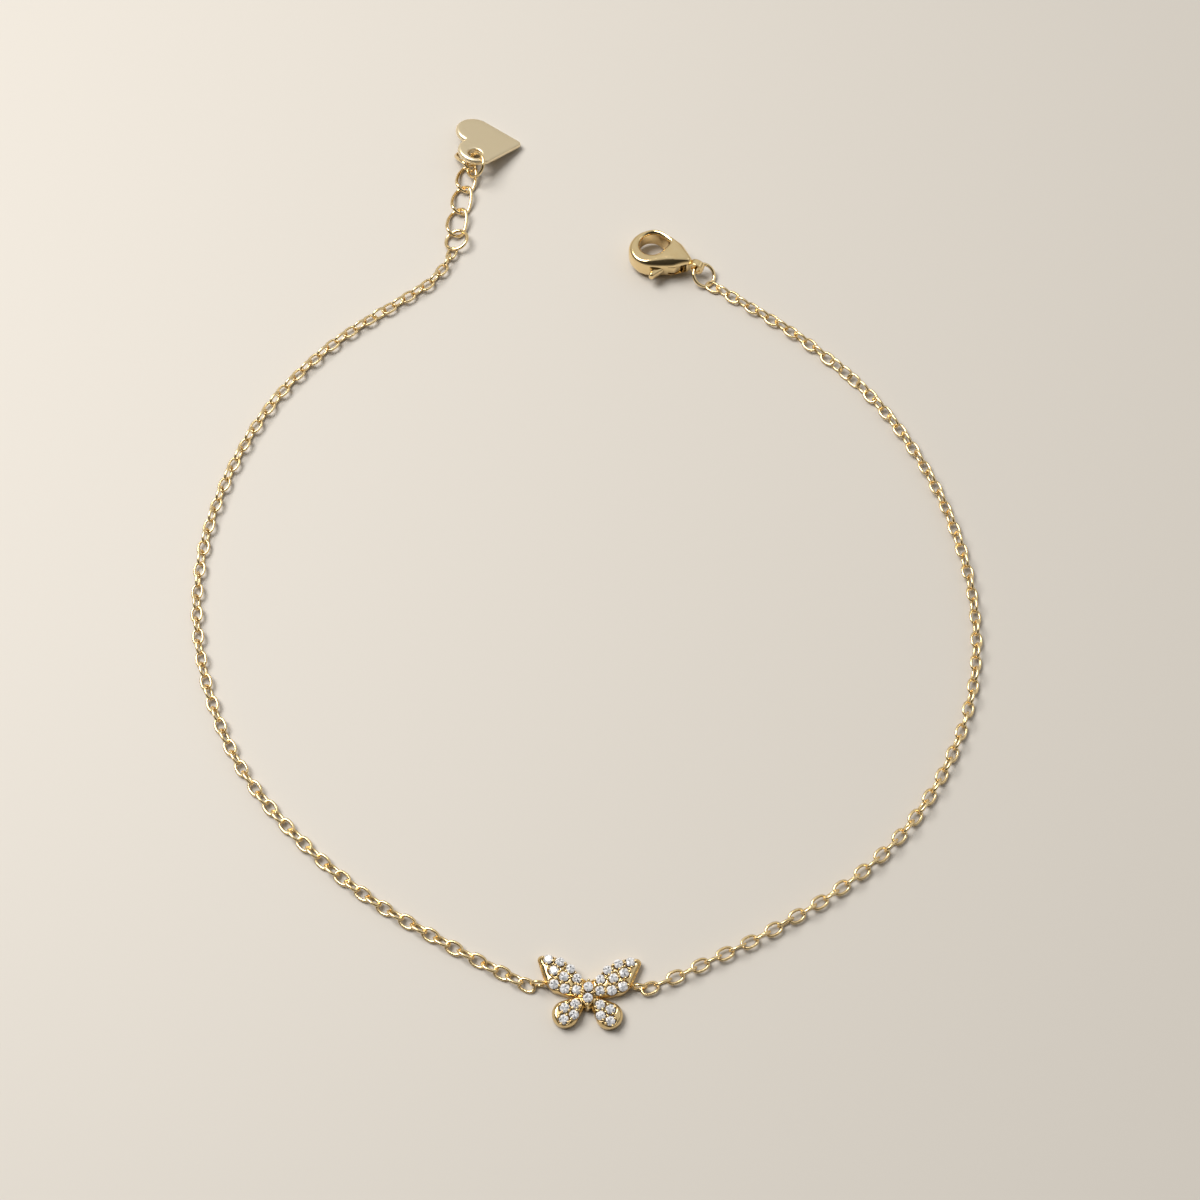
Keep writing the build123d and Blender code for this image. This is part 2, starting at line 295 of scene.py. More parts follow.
def satin_finish(name):
    """Brush lines: noise squeezed across the tag; roughness = base + spread * lines."""
    material, shader, flow = finish_of(name, 1.0, SATIN_MEAN)
    spot = flow.node("ShaderNodeTexCoord", output="Object")
    brushed = flow.node("ShaderNodeMapping", {}, {"Vector": spot, "Scale": BRUSH_SQUEEZE})
    lines = noise(flow, brushed, BRUSH_SIZE, 4.0)
    feed(flow, shader, "Base Color", blend(flow, lines * 0.5, PALE_GOLD, PALE_DEEP))
    feed(flow, shader, "Roughness", lines * SATIN_SPREAD + SATIN_ROUGHNESS)
    feed(flow, shader, "Normal", bumps(flow, lines, 0.3, BRUSH_DEPTH))
    return material


satin_gold = satin_finish("satin_gold")
print("satin finish:", satin_gold.name)

# %% [markdown]
# ## Clear stones
#
# A small brilliant shows hard patches of white, grey and near black, because each facet mirrors a
# different part of the room through the stone. Here those patches are painted: each facet carries a
# painted reflection, a tone from dark to white worked out with its shape, and a sharp gloss on top.

# %% Stone finish
# painted reflection: the tones a facet's value runs through, from near black to white
PAINTED_REFLECTION_STOPS = [
    (0.0, (0.10, 0.10, 0.11, 1.0)),
    (0.35, (0.42, 0.43, 0.45, 1.0)),
    (0.7, (0.95, 0.95, 0.97, 1.0)),
]


def stone_finish(name):
    """Painted reflection per facet, from dark to white, under a mirror-sharp gloss."""
    material, shader, flow = finish_of(name, 0.25, 0.04, coat=1.0)
    # painted reflection, read from each facet's value
    tone = flow.node("ShaderNodeAttribute", {"attribute_name": "tone"}, output="Fac")
    shade = flow.node("ShaderNodeValToRGB", {"stops": PAINTED_REFLECTION_STOPS}, {"Fac": tone})
    feed(flow, shader, "Base Color", shade)
    shader.inputs["Coat Roughness"].default_value = 0.02
    return material


stone_clear = stone_finish("stone_clear")
print("stone finish:", stone_clear.name)

# %% [markdown]
# ## Wire bent into loops
#
# Every link and ring is round wire along a closed line. At each point of the line two directions
# square to it span the wire's section: one in the loop's plane and one out of it. The wire's
# skin is the line's point plus the radius times cos and sin of those two.

# %% Round wire along closed lines
def wire_loops(lines, ups, radius, sides):
    """Skins of many closed lines at once: lines (n, points, 3), ups (n, 3), radius in mm.
    Point = line + radius * (cos v * across + sin v * over), both square to the line."""
    ahead = np.roll(lines, -1, 1) - np.roll(lines, 1, 1)
    ahead /= np.linalg.norm(ahead, axis=2, keepdims=True)
    across = np.cross(ahead, ups[:, None, :])
    across /= np.linalg.norm(across, axis=2, keepdims=True)
    over = np.cross(across, ahead)
    v = np.arange(sides) / sides * TAU
    ring = np.cos(v)[:, None] * across[:, :, None, :] + np.sin(v)[:, None] * over[:, :, None, :]
    points = lines[:, :, None, :] + radius * ring
    loops, steps = lines.shape[:2]
    one = grid_faces(steps, sides)
    starts = np.arange(loops)[:, None, None] * steps * sides
    return shell(points, (one[None] + starts).reshape(-1, 4))


def oval_line(half_width, half_length, steps, squareness=2.4, twist=0.0):
    """Rounded oval: x = a*|cos u|^(2/n), y = b*|sin u|^(2/n) with their signs, z = twist * sin 2u."""
    u = (np.arange(steps) + 0.5) / steps * TAU
    x = half_width * np.sign(np.cos(u)) * np.abs(np.cos(u)) ** (2 / squareness)
    y = half_length * np.sign(np.sin(u)) * np.abs(np.sin(u)) ** (2 / squareness)
    return np.stack([x, y, twist * np.sin(2 * u)], 1)


# %% [markdown]
# ## The way each chain lies
#
# The chain's route is a smooth spline over the same points as its CAD tube. They are chosen
# on a five millimetre grid, with each bend's point just outside the bend, as the curve runs inside
# its corners. Blender evaluates the spline, and its points give the distance along the chain.

# %% Routes of the two chains
CHAIN_Z = 0.5
LEFT_ROUTE = [
    (-15.2, 35.0), (-16.2, 31.8), (-20.5, 28.4), (-27.9, 22.9), (-34.2, 15.1),
    (-38.4, 5.1), (-40.2, -5.0), (-39.3, -15.0), (-35.5, -25.2), (-30.2, -32.5),
    (-21.9, -40.2), (-13.5, -45.1), (-9.0, -47.5), (-5.35, -49.3),
]
RIGHT_ROUTE = [
    (14.1, 30.4), (18.4, 27.4), (24.0, 23.2), (31.4, 15.6), (36.6, 6.1),
    (39.5, -4.0), (40.0, -14.0), (37.9, -23.1), (32.9, -32.2), (26.4, -38.8),
    (17.9, -44.1), (11.4, -47.2), (8.6, -48.6), (6.15, -49.6),
]


def route_line(name, corners):
    """Points in millimetres, read off an order-3 spline whose control points are the corners."""
    curve = bpy.data.curves.new(name, "CURVE")
    curve.dimensions, curve.resolution_u = "3D", 32
    spline = curve.splines.new("NURBS")
    spline.points.add(len(corners) - 1)
    places = [(x * MM, y * MM, CHAIN_Z * MM, 1) for x, y in corners]
    spline.points.foreach_set("co", np.array(places).ravel())
    spline.order_u = 3
    spline.use_endpoint_u = True
    holder = bpy.data.objects.new(name, curve)
    line = bpy.data.meshes.new_from_object(holder)
    points = np.empty(3 * len(line.vertices))
    line.vertices.foreach_get("co", points)
    bpy.data.objects.remove(holder)
    bpy.data.curves.remove(curve)
    bpy.data.meshes.remove(line)
    return points.reshape(-1, 3) / MM


left_line = route_line("left_route", LEFT_ROUTE)
right_line = route_line("right_route", RIGHT_ROUTE)
print("route points:", len(left_line), len(right_line))

# %% [markdown]
# ## Cable chain, link by link
#
# A cable chain is one oval link repeated. Each link sits one pitch further along the route, and
# neighbours stand square to each other, so that each passes through the next. The whole chain
# also twists slowly as it lies, which shows as links that open and close along its length. A
# short table gives that twist at a few distances, and the links between are blended.

# %% Link sizes and the twist along each chain
LINK_PITCH = 1.30
LINK_HALF_WIDTH = 0.53
LINK_HALF_LENGTH = 0.80
LINK_WIRE = 0.15
LINK_SWAY = 5.0
LINK_STEPS, LINK_SIDES = 16, 6
TABLE_GAP = 0.01
# a flat link hangs at this share of its standing neighbours' height
HANG_SHARE = 0.78
# distance along the chain in mm, roll of the even links, roll of the odd links, in degrees
LEFT_TWIST = [(0, 5, 92), (30, 8, 95), (60, 15, 110), (80, 20, 128), (110, 15, 135)]
RIGHT_TWIST = [(0, 10, 85), (15, 12, 88), (21, 85, 15), (50, 75, -18), (75, 72, -22), (106, 80, 5)]


def chain_links(line, twist, seed):
    """Centres on the route one pitch apart, and each link's closed line round its centre.
    Point = centre + y * ahead + x * (cos roll * left + sin roll * up)."""
    gone = np.concatenate([[0], np.cumsum(np.linalg.norm(np.diff(line, axis=0), axis=1))])
    count = int(round(gone[-1] / LINK_PITCH)) + 1
    stops = np.linspace(0, gone[-1], count)

    def at(distance):
        return np.stack([np.interp(distance, gone, line[:, axis]) for axis in range(3)], 1)

    ahead = at(np.minimum(stops + LINK_PITCH / 2, gone[-1])) - at(np.maximum(stops - LINK_PITCH / 2, 0))
    ahead /= np.linalg.norm(ahead, axis=1, keepdims=True)
    left = np.stack([-ahead[:, 1], ahead[:, 0], np.zeros(count)], 1)
    table = np.array(twist, float)
    even = np.interp(stops, table[:, 0], table[:, 1])
    odd = np.interp(stops, table[:, 0], table[:, 2])
    sway = np.random.default_rng(seed).normal(0, LINK_SWAY, count)
    roll = np.radians(np.where(np.arange(count) % 2 == 0, even, odd) + sway)
    across = np.cos(roll)[:, None] * left + np.sin(roll)[:, None] * np.array([0, 0, 1.0])
    stands = LINK_HALF_WIDTH * np.abs(np.sin(roll)) + LINK_WIRE
    beside = (np.roll(stands, 1) + np.roll(stands, -1)) / 2
    centres = at(stops)
    centres[:, 2] = np.maximum(stands, HANG_SHARE * beside) + TABLE_GAP
    oval = oval_line(LINK_HALF_WIDTH, LINK_HALF_LENGTH, LINK_STEPS)
    lines = centres[:, None] + oval[None, :, :1] * across[:, None] + oval[None, :, 1:2] * ahead[:, None]
    return lines, np.cross(ahead, across), count


for name, line, twist, seed in (
    ("chain_left_links", left_line, LEFT_TWIST, 3),
    ("chain_right_links", right_line, RIGHT_TWIST, 4),
):
    lines, ups, count = chain_links(line, twist, seed)
    mesh = new_mesh(name, [wire_loops(lines, ups, LINK_WIRE, LINK_SIDES)], 180)
    new_piece(name, mesh, "anklet", [name.replace("_links", "")], chain_gold)
    print(name, "links", count)

# %% [markdown]
# ## Jump rings and extender links
#
# The rings are plain closed circles. The four extender links are curb links: flat ovals twisted so
# that opposite sides rise and fall, which is the sin 2u in the oval's formula.

# %% Extender links and rings
EXTENDER_WIRE = 0.19
EXTENDER_HALF_WIDTH, EXTENDER_HALF_LENGTH, EXTENDER_TWIST = 1.05, 1.82, 0.40
WIRE_STEPS, WIRE_SIDES = 96, 20
EXTENDER_PLACES = {
    "extender_link_1": (-14.75, 39.18, 0.62, -7, 0, 0),
    "extender_link_2": (-14.30, 42.35, 0.62, -7, 0, 0),
    "extender_link_3": (-13.84, 45.48, 0.62, -8, 0, 0),
    "extender_link_4": (-13.96, 47.94, 0.76, 14.8, -16.1, 30.6),
}
RING_PLACES = {
    "end_ring": (1.27, 0.19, (-14.7, 36.68, 0.64, 0, 0, -19)),
    "clasp_ring": (1.27, 0.19, (13.10, 31.69, 0.82, -40, 0, 29.7)),
    "heart_ring": (1.36, 0.17, (-12.79, 46.43, 1.82, 20.0, 0, -47.9)),
}


def laid_wire(name, line, radius, place):
    """A closed wire loop at its place, which stands for the CAD node of the same name."""
    up = turning(*place[3:])[:, 2]
    wire = wire_loops(lay(line, place)[None], up[None], radius, WIRE_SIDES)
    mesh = new_mesh(name + "_wire", [wire], 180)
    return new_piece(name + "_wire", mesh, "anklet", [name], polished_gold)


for name, place in EXTENDER_PLACES.items():
    line = oval_line(EXTENDER_HALF_WIDTH, EXTENDER_HALF_LENGTH, WIRE_STEPS, twist=EXTENDER_TWIST)
    laid_wire(name, line, EXTENDER_WIRE, place)
for name, (ring_radius, wire_radius, place) in RING_PLACES.items():
    laid_wire(name, oval_line(ring_radius, ring_radius, WIRE_STEPS, squareness=2.0), wire_radius, place)

# %% [markdown]
# ## Outlines from rounds
#
# Many of the flat parts are outlines stretched round a few circles, like a belt round pulleys.
# For every direction the belt touches the circle that reaches furthest that way, and the point is
# that circle's centre plus its radius in that direction. Even spacing comes from walking along it.

# %% Belt outlines
def evenly(outline, count):
    """The closed outline again, as that many points spaced evenly along it."""
    closed = np.concatenate([outline, outline[:1]])
    gone = np.concatenate([[0], np.cumsum(np.linalg.norm(np.diff(closed, axis=0), axis=1))])
    stops = np.arange(count) / count * gone[-1]
    return np.stack([np.interp(stops, gone, closed[:, axis]) for axis in range(2)], 1)


def belt(centres, radii, count, start=0.0, sweep=TAU):
    """Belt round circles: for each direction, the circle with the greatest centre.direction + radius."""
    angles = start + np.arange(count) / count * sweep
    ways = np.stack([np.cos(angles), np.sin(angles)], 1)
    centres, radii = np.array(centres, float), np.array(radii, float)
    chosen = np.argmax(ways @ centres.T + radii, axis=1)
    return centres[chosen] + radii[chosen][:, None] * ways


def rounded(corners, rounding, count):
    """A polygon with soft corners: its outline evenly spaced, then averaged over a short stretch."""
    outline = evenly(np.array(corners, float), count)
    around = np.linalg.norm(np.diff(outline, axis=0), axis=1).sum()
    reach = max(1, int(rounding / around * count / 2))
    return sum(np.roll(outline, step, 0) for step in range(-reach, reach + 1)) / (2 * reach + 1)


def inward(outline):
    """Unit directions square to a counter-clockwise outline, pointing in."""
    ahead = np.roll(outline, -1, 0) - np.roll(outline, 1, 0)
    ahead /= np.linalg.norm(ahead, axis=1, keepdims=True)
    return np.stack([-ahead[:, 1], ahead[:, 0]], 1)


# %% [markdown]
# ## A plate with a hole, and solid blocks
#
# The clasp is a thick plate with one hole. Its skin is a closed strip: up the outer wall, round its
# upper edge, across the top to the hole, down through it, and back along the underside. Carried
# round the outline, that strip is the whole surface. The heart, the lever's arm and tab and the
# cutting tools are simpler: solid blocks of one outline, whose rims may be rounded.

# %% A pierced plate
def pierced_plate(outline, hole, centre, half, edge_in, edge_down, hole_edge, across=14, bend=8):
    """Rows from the outer wall over the top to the hole and back below, z = +-(half(x, y) - drop).
    Rims are quarter ovals: inset = edge_in * (1 - cos q), drop = edge_down * (1 - sin q)."""
    inner_of = inward(outline)
    middle = hole.mean(0)
    angle = np.arctan2(*(outline - centre).T[::-1])
    hole_angle = np.arctan2(*(hole - middle).T[::-1])
    order = np.argsort(hole_angle)
    radius = np.interp(angle, hole_angle[order], np.linalg.norm(hole - middle, axis=1)[order], period=TAU)
    away = np.stack([np.cos(angle), np.sin(angle)], 1)
    quarter = np.linspace(0, np.pi / 2, bend)
    outer = [(outline + inner_of * edge_in[:, None] * (1 - np.cos(q)), edge_down * (1 - np.sin(q)))
             for q in quarter]
    rim = outer[-1][0]
    lip = [(middle + away * (radius + hole_edge * (1 - np.cos(q)))[:, None], hole_edge * (1 - np.sin(q)))
           for q in quarter[::-1]]
    blend = np.linspace(0, 1, across + 2)[1:-1]
    flat = [(rim * (1 - s) + lip[0][0] * s, 0.0) for s in blend]
    top = outer + flat + lip
    rows = [np.column_stack([xy, half(xy) - drop]) for xy, drop in top]
    rows += [np.column_stack([xy, drop - half(xy)]) for xy, drop in reversed(top)]
    stack = np.stack(rows)
    return shell(stack, grid_faces(*stack.shape[:2]))


# %% Blocks with soft rims
def slab(outline, half, edge=0.0, bend=6):
    """A block of that outline from -half to +half; each rim is a quarter round of radius edge."""
    into = inward(outline)
    middle = outline.mean(0)
    turns = np.linspace(0, np.pi / 2, bend) if edge else np.zeros(1)
    rims = [(outline + into * edge * (1 - np.sin(q)), half - edge * (1 - np.cos(q))) for q in turns]
    flat = [(middle + (rims[0][0] - middle) * share, half) for share in (0.4, 0.8)]
    top = flat + rims
    stack = [np.column_stack([xy, np.full(len(xy), -z)]) for xy, z in top]
    stack += [np.column_stack([xy, np.full(len(xy), z)]) for xy, z in reversed(top)]
    return closed_disc(np.stack(stack))


# %% Cutting with outlines
def cut_mesh(name, shells, cutters, operation, smooth_angle=35.0):
    """The shells' mesh after a Boolean with each cutter, kept as a plain mesh."""
    base = bpy.data.objects.new(name, new_mesh(name, shells))
    bpy.context.scene.collection.objects.link(base)
    tools = []
    for number, cutter in enumerate(cutters):
        tool = bpy.data.objects.new(f"{name}_cut_{number}", new_mesh(f"{name}_cut_{number}", [cutter]))
        bpy.context.scene.collection.objects.link(tool)
        change = base.modifiers.new("cut", "BOOLEAN")
        change.operation, change.object, change.solver = operation, tool, "EXACT"
        tools.append(tool)
    graph = bpy.context.evaluated_depsgraph_get()
    mesh = bpy.data.meshes.new_from_object(base.evaluated_get(graph))
    for thing in [base] + tools:
        bpy.data.objects.remove(thing)
    mesh.shade_smooth()
    mesh.set_sharp_from_angle(angle=np.radians(smooth_angle))
    return mesh


# %% [markdown]
# ## The heart tag
#
# Half the heart is a belt round one lobe and the small circle at the tip; the other half is its
# mirror. Its rim is rolled over softly. The hole has a rounded lip, so it is drilled with a spool
# whose waist is the hole and whose flared ends leave that lip.

# %% Heart
HEART_PLACE = (-12.86, 50.12, 1.46, 6.3, -12, 10.8)
HEART_HALF = 0.40
HEART_LOBE_AT, HEART_LOBE_R = (0, 1.80), 2.20
HEART_TIP_AT, HEART_TIP_R = (4.83, 0), 0.40
HEART_CLEFT_SOFT = 0.30
HEART_RIM = 0.36
HEART_HOLE_AT, HEART_HOLE_R, HEART_HOLE_LIP = (-0.30, -2.55), 0.80, 0.22


def heart_outline(count):
    """Belt from the cleft round a lobe to the tip, then its mirror image back to the cleft."""
    cleft_angle = np.pi + np.arcsin(HEART_LOBE_AT[1] / HEART_LOBE_R)
    centres, radii = [HEART_LOBE_AT, HEART_TIP_AT], [HEART_LOBE_R, HEART_TIP_R]
    half = belt(centres, radii, 240, start=cleft_angle, sweep=-cleft_angle)
    other = half[::-1] * np.array([1, -1])
    return rounded(np.concatenate([half, other])[::-1], HEART_CLEFT_SOFT, count)


def spool(at, radius, lip, half, columns=96):
    """A drill for a hole with rounded rims: r = radius + lip * (1 - cos q), z = half - lip + lip * sin q."""
    q = np.linspace(0, np.pi / 2, 7)
    r = np.concatenate([[radius + 1.6 * lip], (radius + lip * (1 - np.cos(q)))[::-1]])
    z = np.concatenate([[half + 0.5 * lip], (half - lip + lip * np.sin(q))[::-1]])
    r, z = np.concatenate([r, r[::-1]]), np.concatenate([-z, z[::-1]])
    u = np.arange(columns) / columns * TAU
    x = at[0] + r[:, None] * np.cos(u)
    y = at[1] + r[:, None] * np.sin(u)
    return closed_disc(np.stack([x, y, np.broadcast_to(z[:, None], x.shape)], 2))


def heart_piece():
    """The soft-rimmed block, drilled, at the heart's place."""
    blank = slab(heart_outline(320), HEART_HALF, HEART_RIM, 8)
    drill = spool(HEART_HOLE_AT, HEART_HOLE_R, HEART_HOLE_LIP, HEART_HALF)
    laid = [[(lay(points, HEART_PLACE), faces)] for points, faces in (blank, drill)]
    mesh = cut_mesh("heart_plate", laid[0], laid[1], "DIFFERENCE", 50)
    return new_piece("heart_plate", mesh, "anklet", ["heart_tag"], satin_gold)


heart_piece()

# %% [markdown]
# ## The butterfly's metal
#
# Each wing is a cast plate with an upright wall, a smooth sloping band along its edge, and a softly
# domed top in which the stones sit. The top is a height worked out at every point: the dome, less
# a groove close round each stone, so that the metal stands up between them as it does when a
# setter has pushed it into beads.

# %% Stones of the butterfly, in its own frame
BUTTERFLY_AT = (0.4, -50.22, 0.0, -2.0, 0, 0)
# across, along, radius of each stone on the right wing
UPPER_STONES = [
    (3.86, 3.06, 0.46), (2.74, 2.84, 0.46), (1.75, 2.22, 0.45), (3.29, 2.01, 0.48), (2.31, 1.47, 0.48),
    (1.08, 1.31, 0.46), (3.22, 0.70, 0.48), (2.18, 0.30, 0.48), (1.07, 0.23, 0.46),
]
LOWER_STONES = [(1.16, -1.09, 0.46), (2.13, -1.50, 0.46), (1.23, -2.12, 0.45), (2.16, -2.60, 0.46)]
BODY_STONES = [(0.0, 0.46, 0.46), (0.0, -0.60, 0.46)]
WING_OUTLINE = [
    (0.2, 1.3), (0.75, 1.5), (1.3, 2.2), (2.5, 3.12), (3.6, 3.5), (4.6, 3.5), (4.9, 3.15),
    (4.25, 1.4), (3.95, 0.7), (3.3, 0.1), (1.9, -0.28), (0.2, -0.45),
]
WING_TOP = 1.10
BODY_TOP = 1.50
WALL_SHARE = 0.66
GROOVE = 0.12
GROOVE_REACH = 0.35
SEAT_R = 0.45
LEAST_BAND = 0.10
LOOP_R, LOOP_WIRE = 0.65, 0.15
LOOP_OUT, LOOP_ALONG, LOOP_UP = 4.72, 0.78, 0.82


def smooth_step(x):
    """0 below 0, 1 above 1, and 3x^2 - 2x^3 between."""
    x = np.clip(x, 0, 1)
    return x * x * (3 - 2 * x)


def stone_gap(xy, stones):
    """For each point, its distance to the nearest stone's middle in radii of that stone."""
    stones = np.array(stones)
    return (np.linalg.norm(xy[:, None] - stones[None, :, :2], axis=2) / stones[None, :, 2]).min(1)


# %% A cast plate: wall, sloping band, domed top with seats
def cast_plate(outline, core, top, stones, widest_band, dome=0.0):
    """Rows from the underside's middle out, up the wall, over the band and in to the core.
    The band is as wide as the room left beside the nearest stone.
    Height = wall + rise * sin(band share) + dome - groove * (1 - smooth((gap - 1) / reach))."""
    into = inward(outline)
    core = np.array(core, float)
    wall_top = top * WALL_SHARE
    to_stones = np.linalg.norm(outline[:, None] - np.array(stones)[None, :, :2], axis=2)
    room = np.min(to_stones - SEAT_R, axis=1)
    reach = np.clip(room, LEAST_BAND, widest_band)
    band = sum(np.roll(reach, step) for step in range(-4, 5)) / 9

    def row(xy, z):
        return np.column_stack([xy, np.broadcast_to(z, len(xy))])

    under = [row(core + (outline - core) * s, 0.0) for s in (0.3, 0.7, 0.97)]
    wall = [row(outline, z) for z in np.linspace(0.05, wall_top, 5)]
    shares = (0.05, 0.2, 0.4, 0.6, 0.8, 1.0)
    edge = [(outline + into * (band * share)[:, None], np.sin(share * np.pi / 2)) for share in shares]
    rim = edge[-1][0]
    inside = [(core + (rim - core) * s, 1.0) for s in np.linspace(1, 0.02, 40)[1:]]
    tops = []
    for xy, rise in edge + inside:
        share = np.linalg.norm(xy - core, axis=1) / np.linalg.norm(rim - core, axis=1)
        lift = dome * (1 - np.clip(share, 0, 1) ** 2)
        groove = GROOVE * rise * (1 - smooth_step((stone_gap(xy, stones) - 1.0) / GROOVE_REACH))
        tops.append(row(xy, wall_top + (top - wall_top) * rise + lift - groove))
    return closed_disc(np.stack(under + wall + tops))


def mirrored(points_faces):
    """The same shell on the other wing; its faces are turned round to keep pointing out."""
    points, faces = points_faces
    return points * np.array([-1, 1, 1]), [array[:, ::-1] for array in faces]


# %% Butterfly metal
wing_line = rounded(WING_OUTLINE[::-1], 0.4, 240)
lobe_line = evenly(belt([(2.03, -1.97), (0.55, -0.65)], [1.25, 0.45], 400), 160)
u = np.arange(120) / 120 * TAU
body_line = np.array([0.0, -0.15]) + np.array([0.60, 1.38]) * np.stack([np.cos(u), np.sin(u)], 1)
WING_CORE, LOBE_CORE, BODY_CORE = (2.7, 1.4), (1.7, -1.75), (0.0, -0.15)
wing_plate = cast_plate(wing_line, WING_CORE, WING_TOP, UPPER_STONES, 0.50, 0.06)
lobe_plate = cast_plate(lobe_line, LOBE_CORE, WING_TOP, LOWER_STONES, 0.38, 0.03)
body_plate = cast_plate(body_line, BODY_CORE, BODY_TOP, BODY_STONES, 0.20)


def soldered_loop(side):
    """Upright ring at a wing's edge, for the chain's end link."""
    upright = oval_line(LOOP_R, LOOP_R, 48, squareness=2.0) @ turning(0, 90, 0).T
    line = upright + np.array([side * LOOP_OUT, LOOP_ALONG, LOOP_UP])
    return wire_loops(line[None], np.array([[0.0, 1.0, 0.0]]), LOOP_WIRE, 14)


plates = [wing_plate, mirrored(wing_plate), lobe_plate, mirrored(lobe_plate), body_plate]
loops = [soldered_loop(-1), soldered_loop(1)]
print("cast plates:", len(plates), "points", sum(len(points) for points, _ in plates))

# %% [markdown]
# ## Faceted stones
#
# A round brilliant has an eight-sided table, a crown of kites and triangles down to the girdle,
# and a pavilion below. Its corners are four rings of points; each ring is turned half a step from
# the one above. The same faces serve every stone, so all are made in one sum.

# %% One brilliant, repeated
def turned_ring(count, radius, height, shift=0.0):
    """Corners of a level ring: radius times cos and sin of evenly spaced angles."""
    angles = (np.arange(count) + shift) / count * TAU
    return np.stack([radius * np.cos(angles), radius * np.sin(angles), np.full(count, height)], 1)


def brilliant():
    """Corners and triangles of a stone of radius 1: table, crown stars, kites, girdle, pavilion."""
    corners = np.concatenate([
        [[0, 0, 0.34]], turned_ring(8, 0.56, 0.34), turned_ring(8, 0.80, 0.20, 0.5),
        turned_ring(16, 1.0, 0.04), turned_ring(16, 1.0, -0.04), [[0, 0, -0.80]],
    ])
    k = np.arange(8)
    table, star, girdle, skirt, culet = 1 + k, 9 + k, 17, 33, 49
    after = (k + 1) % 8
    even, odd, last = 2 * k, 2 * k + 1, (2 * k - 1) % 16
    next_even = (2 * k + 2) % 16
    g = np.arange(16)
    g_after = (g + 1) % 16
    faces = [
        np.stack([np.zeros(8, int), table, 1 + after], 1),
        np.stack([table, star, 1 + after], 1),
        np.stack([table, girdle + even, star], 1),
        np.stack([table, 9 + (k - 1) % 8, girdle + even], 1),
        np.stack([star, girdle + even, girdle + odd], 1),
        np.stack([star, girdle + odd, girdle + next_even], 1),
        np.stack([girdle + g, skirt + g, skirt + g_after], 1),
        np.stack([girdle + g, skirt + g_after, girdle + g_after], 1),
        np.stack([skirt + g, np.full(16, culet), skirt + g_after], 1),
    ]
    return corners, np.concatenate(faces)


# %% Setting the stones
def set_stones(stones, lean):
    """Places, radii and lean of each stone: leaning makes the outer stones follow the dome."""
    return [(x, y, WING_TOP, r, lean * (x - 2.0), -lean * (y - 1.0)) for x, y, r in stones]


one_wing = set_stones(UPPER_STONES, 3.0) + set_stones(LOWER_STONES, 1.5)
settings = [
    (side * x, y, z, r, roll * side, pitch)
    for side in (1, -1)
    for x, y, z, r, roll, pitch in one_wing
]
settings += [(x, y, BODY_TOP, r, 0.0, 0.0) for x, y, r in BODY_STONES]
corners, facets = brilliant()
FACET_SPREAD = 0.2
rng = np.random.default_rng(11)
stone_points, stone_faces, tones_and_painted_light = [], [], []
# painted reflection of each facet, light and dark in turn round the stone, before a random spread
painted_facet_reflection = np.concatenate([
    np.tile([0.62, 0.28], 4), np.tile([0.75, 0.35], 4), np.full(8, 0.7), np.full(8, 0.6),
    np.tile([0.35, 0.9], 4), np.tile([0.85, 0.3], 4), np.full(32, 0.5), np.full(16, 0.3),
])
for number, (x, y, z, r, roll, pitch) in enumerate(settings):
    spun = corners @ turning(rng.uniform(0, 45)).T
    stone_points.append(lay(lay(spun * r, (x, y, z, 0, pitch, roll)), BUTTERFLY_AT))
    stone_faces.append(facets + number * len(corners))
    tones_and_painted_light.append(np.clip(painted_facet_reflection + rng.normal(0, FACET_SPREAD, len(facets)), 0, 1))
stone_mesh = new_mesh("butterfly_stones", [(np.concatenate(stone_points), stone_faces)], 1)
# each facet's painted reflection, stored as a face value
tone = stone_mesh.attributes.new("tone", "FLOAT", "FACE")
tone.data.foreach_set("value", np.concatenate(tones_and_painted_light))
new_piece("butterfly_stones", stone_mesh, "anklet", (), stone_clear)
print("stones set:", len(settings))

# %% [markdown]
# ## Beads that hold the stones
#
# Each stone is held by small beads raised from the metal at its girdle. Spots that would fall off
# the plate, into a stone or onto another bead are left out. Afterwards the grooves get a value of
# their own, and the gold reads it to turn darker where little light reaches.

# %% Beads
BEAD_R = 0.150
BEAD_OUT = 0.05
BEAD_MARGIN = 0.10
BEAD_SPACING = 0.22


def within(spots, outline, core, margin):
    """Which spots lie inside the outline by the margin, judged by distance from the core."""
    core = np.array(core)
    angle = np.arctan2(*(outline - core).T[::-1])
    order = np.argsort(angle)
    reach = np.linalg.norm(outline - core, axis=1)[order]
    ways = spots - core
    limit = np.interp(np.arctan2(ways[:, 1], ways[:, 0]), angle[order], reach, period=TAU)
    return np.linalg.norm(ways, axis=1) < limit - margin


def bead_spots(stones, outline, core, first_angle):
    """Four spots round each stone's girdle, less those off the plate, in a stone or too close."""
    table = np.array(stones)
    angles = np.radians(first_angle + np.arange(4) * 90)
    ways = np.stack([np.cos(angles), np.sin(angles)], 1)
    spots = (table[:, None, :2] + (table[:, None, 2:3] + BEAD_OUT) * ways[None]).reshape(-1, 2)
    spots = spots[within(spots, outline, core, BEAD_MARGIN) & (stone_gap(spots, stones) > 1.03)]
    apart = np.linalg.norm(spots[:, None] - spots[None], axis=2)
    return spots[~np.tril(apart < BEAD_SPACING, -1).any(1)]


def bead(x, y, z, radius, columns=12, rows=9):
    """A bead: a ball stretched downwards into the plate."""
    latitude = np.linspace(-0.48, 0.48, rows) * np.pi
    u = np.arange(columns) / columns * TAU
    level = radius * np.cos(latitude)[:, None]
    height = radius * np.sin(latitude)[:, None] * np.where(latitude < 0, 2.4, 1.0)[:, None]
    return closed_disc(np.stack([x + level * np.cos(u), y + level * np.sin(u), z + height + 0 * u], 2))


